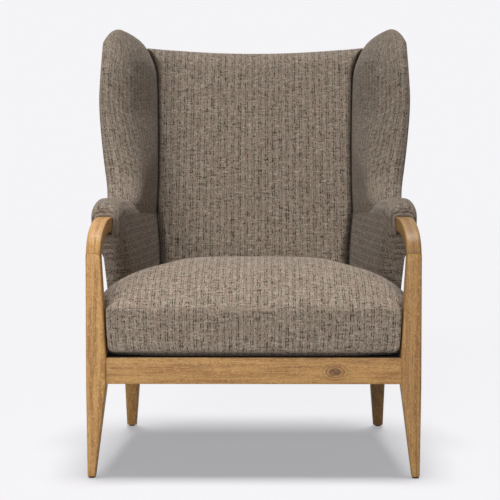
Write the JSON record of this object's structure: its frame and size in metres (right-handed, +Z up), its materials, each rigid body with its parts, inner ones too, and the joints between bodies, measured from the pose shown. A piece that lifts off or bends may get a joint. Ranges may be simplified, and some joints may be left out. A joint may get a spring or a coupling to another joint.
{
  "type": "fireside chair",
  "caption": "High-backed wing armchair with an oak show-wood frame, curved oak arms, tweed upholstery and a loose crowned seat cushion.",
  "frame": {"origin": "on the floor, under the middle of the chair's width and depth", "axes": "+Z up, -Y to the front of the seat, +X to the right as seen from the front"},
  "size_m": [0.7934, 0.8496, 1.0744],
  "materials": {
    "oak": "satin",
    "beech": "matte",
    "tweed": "matte",
    "webbing": "matte",
    "black_cloth": "matte",
    "foam": "matte",
    "glide_plastic": "matte",
    "steel": "satin",
    "zip_cloth": "matte"
  },
  "bodies": {
    "chair_frame": {"front_leg_right": "oak", "front_leg_left": "oak", "arm_right": "oak", "arm_left": "oak", "arm_tenon_right": "oak", "arm_tenon_left": "oak", "back_post_right": "oak", "back_post_left": "oak", "side_rail_right": "oak", "side_rail_left": "oak", "front_rail": "oak", "rear_rail": "oak", "corner_block_front_right": "beech", "corner_block_front_left": "beech", "corner_block_rear_right": "beech", "corner_block_rear_left": "beech", "back_top_rail": "beech", "back_lower_rail": "beech", "wing_board_right": "beech", "wing_board_left": "beech", "block_screw_front_side_right": "steel", "block_screw_front_side_left": "steel", "block_screw_front_end_right": "steel", "block_screw_front_end_left": "steel", "block_screw_rear_side_right": "steel", "block_screw_rear_side_left": "steel", "block_screw_rear_end_right": "steel", "block_screw_rear_end_left": "steel", "glide_front_right": "glide_plastic", "glide_front_left": "glide_plastic", "glide_rear_right": "glide_plastic", "glide_rear_left": "glide_plastic", "back_pad": "tweed", "outside_back": "tweed", "side_pad_right": "tweed", "side_pad_left": "tweed", "arm_pad_right": "tweed", "arm_pad_left": "tweed", "wing_pad_right": "tweed", "wing_pad_left": "tweed", "outside_side_right": "tweed", "outside_side_left": "tweed", "outside_wing_right": "tweed", "outside_wing_left": "tweed", "back_strap_1": "webbing", "back_strap_2": "webbing", "back_strap_3": "webbing", "back_strap_4": "webbing", "seat_webbing": "webbing", "seat_deck": "black_cloth", "dust_cover": "black_cloth"},
    "seat_cushion": {"seat_cushion_cover": "tweed", "seat_cushion_core": "foam", "zip_tape": "zip_cloth"},
    "zip_slider": {"zip_slider": "steel"},
    "zip_tab": {"zip_tab": "steel"}
  },
  "joints": [
    {"name": "cushion_lift", "type": "slide", "parent": "chair_frame", "child": "seat_cushion", "axis": [0, -0.9397, 0.342], "range_m": [0, 0.62]},
    {"name": "zip_run", "type": "slide", "parent": "seat_cushion", "child": "zip_slider", "axis": [1, 0, 0], "range_m": [0, 0.344]},
    {"name": "zip_tab_swing", "type": "hinge", "parent": "zip_slider", "child": "zip_tab", "pos_m": [-0.172, 0.1177, 0.312], "axis": [0, 0, -1], "range_deg": [0, 180]}
  ]
}
